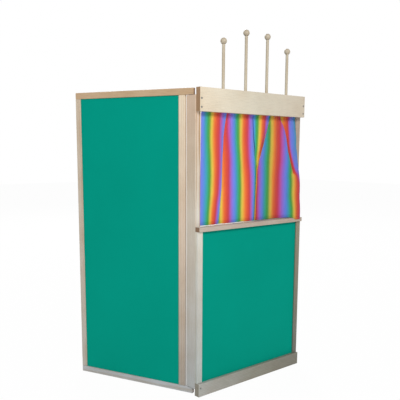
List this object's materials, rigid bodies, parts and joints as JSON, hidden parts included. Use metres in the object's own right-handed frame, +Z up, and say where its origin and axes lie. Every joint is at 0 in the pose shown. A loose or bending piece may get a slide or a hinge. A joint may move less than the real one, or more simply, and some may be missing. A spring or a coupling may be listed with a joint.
{
  "type": "puppet theater stand",
  "caption": "Free-standing wooden puppet theater: front panel with curtained stage opening and puppet pegs, and two framed wings that fold in behind it.",
  "frame": {"origin": "centre of the underside of the front's bottom rail", "axes": "+Z up, +X along the front towards the right of a person who faces the stage, +Y backstage"},
  "size_m": [1.0182, 0.5721, 1.4557],
  "materials": {
    "clear_finished_wood": "clear satin lacquer on a pale fine-grained hardwood",
    "green_board": "even matt green paint on thin board",
    "stage_cloth": "light cotton cloth with soft upright rainbow stripes",
    "steel": "plain bright steel"
  },
  "bodies": {
    "front": {"front_bottom_rail": "clear_finished_wood", "front_lower_panel": "green_board", "front_sill": "clear_finished_wood", "front_left_stile": "clear_finished_wood", "front_right_stile": "clear_finished_wood", "header": "clear_finished_wood", "left_post": "clear_finished_wood", "right_post": "clear_finished_wood", "peg_dowel_1": "clear_finished_wood", "peg_dowel_2": "clear_finished_wood", "peg_dowel_3": "clear_finished_wood", "peg_dowel_4": "clear_finished_wood", "peg_ball_1": "clear_finished_wood", "peg_ball_2": "clear_finished_wood", "peg_ball_3": "clear_finished_wood", "peg_ball_4": "clear_finished_wood", "curtain_rod": "clear_finished_wood", "rod_socket_left": "clear_finished_wood", "rod_socket_right": "clear_finished_wood", "left_pivot_pin_bottom": "steel", "left_pivot_pin_top": "steel", "left_washer_bottom": "steel", "left_washer_top": "steel", "right_pivot_pin_bottom": "steel", "right_pivot_pin_top": "steel", "right_washer_bottom": "steel", "right_washer_top": "steel", "header_screw_left_1": "steel", "header_screw_left_2": "steel", "header_screw_right_1": "steel", "header_screw_right_2": "steel", "bottom_rail_screw_left": "steel", "bottom_rail_screw_right": "steel"},
    "left_wing": {"left_wing_bottom_rail": "clear_finished_wood", "left_wing_top_rail": "clear_finished_wood", "left_wing_inner_stile": "clear_finished_wood", "left_wing_outer_stile": "clear_finished_wood", "left_wing_panel": "green_board"},
    "right_wing": {"right_wing_bottom_rail": "clear_finished_wood", "right_wing_top_rail": "clear_finished_wood", "right_wing_inner_stile": "clear_finished_wood", "right_wing_outer_stile": "clear_finished_wood", "right_wing_panel": "green_board"},
    "left_curtain": {"curtain_left": "stage_cloth"},
    "right_curtain": {"curtain_right": "stage_cloth"}
  },
  "joints": [
    {"name": "left_wing_fold", "type": "hinge", "parent": "front", "child": "left_wing", "pos_m": [-0.2955, 0.0511, 0], "axis": [0, 0, -1], "range_deg": [-118, 112.4]},
    {"name": "right_wing_fold", "type": "hinge", "parent": "front", "child": "right_wing", "pos_m": [0.2955, 0.0363, 0], "axis": [0, 0, 1], "range_deg": [-118, 112.4]},
    {"name": "left_curtain_draw", "type": "slide", "parent": "front", "child": "left_curtain", "axis": [-1, 0, 0], "range_m": [0, 0.22], "deforming": ["curtain_left"]},
    {"name": "right_curtain_draw", "type": "slide", "parent": "front", "child": "right_curtain", "axis": [1, 0, 0], "range_m": [0, 0.16], "deforming": ["curtain_right"]}
  ]
}
